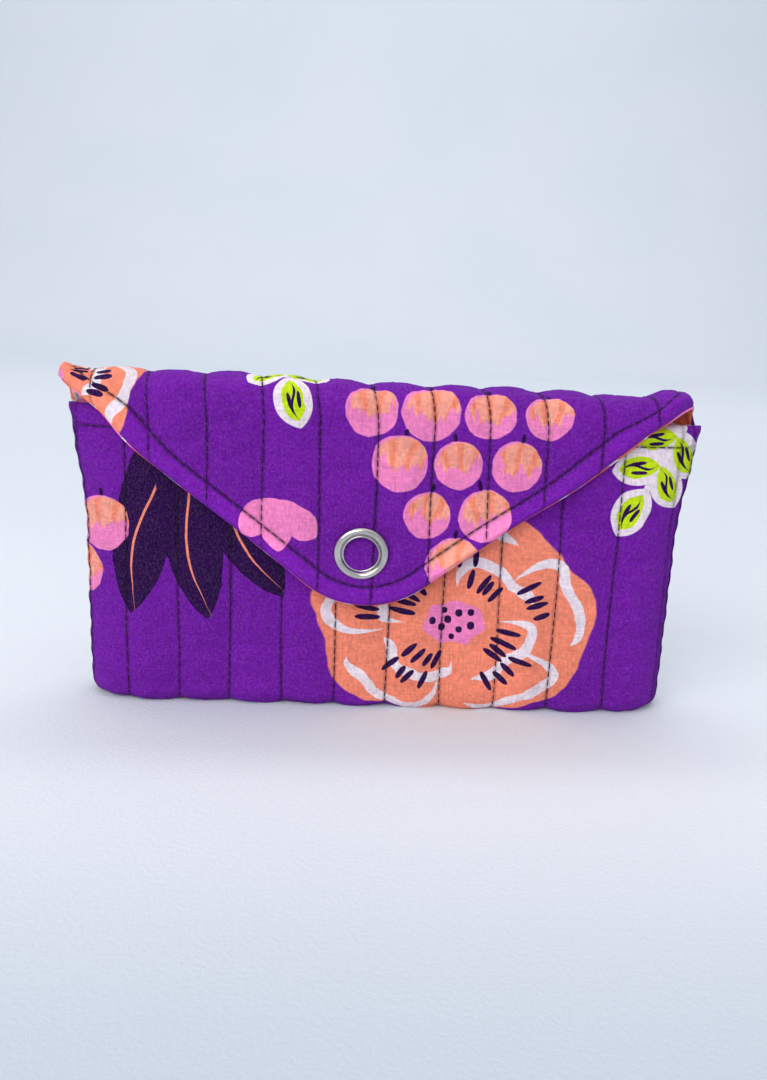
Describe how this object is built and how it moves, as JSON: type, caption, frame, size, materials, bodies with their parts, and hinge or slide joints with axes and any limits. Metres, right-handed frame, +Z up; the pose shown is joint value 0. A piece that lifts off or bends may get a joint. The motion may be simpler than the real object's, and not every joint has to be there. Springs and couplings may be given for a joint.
{
  "type": "soft pouch glasses case",
  "caption": "Quilted cotton glasses pouch that stands upright, with an open-topped padded pocket, an envelope flap folded over its mouth and a ring snap that shuts it.",
  "frame": {"origin": "on the surface the pouch stands on, under the middle of its bounding box", "axes": "+X along the pouch to the right as seen from its flap side, +Y from the flap side to the back, +Z up from the base to the top fold"},
  "size_m": [0.1852, 0.0296, 0.097],
  "materials": {
    "outer_cotton": "plain-woven printed quilting cotton",
    "lining_cotton": "plain-woven printed quilting cotton",
    "batting": "lofted fibre batting",
    "thread": "spun sewing thread",
    "snap_metal": "polished nickel plate",
    "spring_steel": "drawn wire"
  },
  "bodies": {
    "pocket": {"outer_front_panel": "outer_cotton", "outer_base_fold": "outer_cotton", "outer_back_panel": "outer_cotton", "batting_front_panel": "batting", "batting_base_fold": "batting", "batting_back_panel": "batting", "lining_front_panel": "lining_cotton", "lining_base_fold": "lining_cotton", "lining_back_panel": "lining_cotton", "quilt_thread_front_1": "thread", "quilt_thread_front_2": "thread", "quilt_thread_front_3": "thread", "quilt_thread_front_4": "thread", "quilt_thread_front_5": "thread", "quilt_thread_front_6": "thread", "quilt_thread_front_7": "thread", "quilt_thread_front_8": "thread", "quilt_thread_front_9": "thread", "quilt_thread_front_10": "thread", "quilt_thread_back_1": "thread", "quilt_thread_back_2": "thread", "quilt_thread_back_3": "thread", "quilt_thread_back_4": "thread", "quilt_thread_back_5": "thread", "quilt_thread_back_6": "thread", "quilt_thread_back_7": "thread", "quilt_thread_back_8": "thread", "quilt_thread_back_9": "thread", "quilt_thread_back_10": "thread", "side_seam_thread_left": "thread", "side_seam_thread_right": "thread", "mouth_topstitch": "thread", "snap_stud": "snap_metal", "snap_stud_ring": "snap_metal"},
    "top_fold": {"outer_fold_back": "outer_cotton", "outer_fold_front": "outer_cotton", "batting_fold_back": "batting", "batting_fold_front": "batting", "lining_fold_back": "lining_cotton", "lining_fold_front": "lining_cotton"},
    "flap": {"outer_flap": "outer_cotton", "batting_flap": "batting", "lining_flap": "lining_cotton", "flap_topstitch": "thread", "quilt_thread_flap_1": "thread", "quilt_thread_flap_2": "thread", "quilt_thread_flap_3": "thread", "quilt_thread_flap_4": "thread", "quilt_thread_flap_5": "thread", "quilt_thread_flap_6": "thread", "quilt_thread_flap_7": "thread", "quilt_thread_flap_8": "thread", "quilt_thread_flap_9": "thread", "snap_cap_ring": "snap_metal", "snap_socket": "snap_metal", "snap_socket_spring": "spring_steel"}
  },
  "joints": [
    {"name": "top_fold_hinge", "type": "hinge", "parent": "pocket", "child": "top_fold", "pos_m": [0.00105, 0.01135, 0.086], "axis": [-1, 0, 0], "range_deg": [0, 90]},
    {"name": "flap_hinge", "type": "hinge", "parent": "top_fold", "child": "flap", "pos_m": [0.00105, -0.00925, 0.086], "axis": [-1, 0, 0], "range_deg": [0, 90]}
  ],
  "couplings": [
    {"joint": "flap_hinge", "follows": "top_fold_hinge", "ratio": 1}
  ]
}
